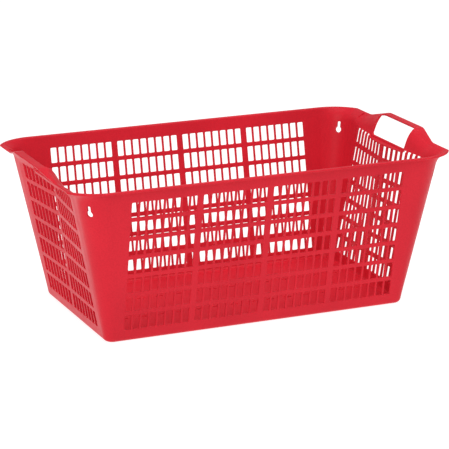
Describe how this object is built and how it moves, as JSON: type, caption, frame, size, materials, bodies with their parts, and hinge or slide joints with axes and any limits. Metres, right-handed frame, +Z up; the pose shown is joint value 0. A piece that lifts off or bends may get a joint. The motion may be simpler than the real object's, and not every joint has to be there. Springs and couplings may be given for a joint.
{
  "type": "harvest basket",
  "caption": "Tapered red plastic harvest basket with slotted walls and floor, a flared rim, a hand hole under a raised grip at each end and a keyhole in each corner.",
  "frame": {"origin": "on the ground under the middle of the floor", "axes": "+X along the length to the right-hand grip, +Y to the back, +Z up"},
  "size_m": [0.6278, 0.371, 0.2525],
  "materials": {
    "red_plastic": "satin moulded polypropylene"
  },
  "bodies": {
    "root": {"floor_grid": "red_plastic", "front_base_rail": "red_plastic", "back_base_rail": "red_plastic", "left_base_rail": "red_plastic", "right_base_rail": "red_plastic", "front_wall": "red_plastic", "back_wall": "red_plastic", "left_end_wall_front": "red_plastic", "left_end_wall_back": "red_plastic", "right_end_wall_front": "red_plastic", "right_end_wall_back": "red_plastic", "corner_post_front_left": "red_plastic", "corner_post_front_right": "red_plastic", "corner_post_back_left": "red_plastic", "corner_post_back_right": "red_plastic", "rim_front": "red_plastic", "rim_back": "red_plastic", "rim_corner_front_left": "red_plastic", "rim_corner_front_right": "red_plastic", "rim_corner_back_left": "red_plastic", "rim_corner_back_right": "red_plastic", "left_handle_plate": "red_plastic", "right_handle_plate": "red_plastic", "left_grip_rim": "red_plastic", "right_grip_rim": "red_plastic"}
  },
  "joints": []
}
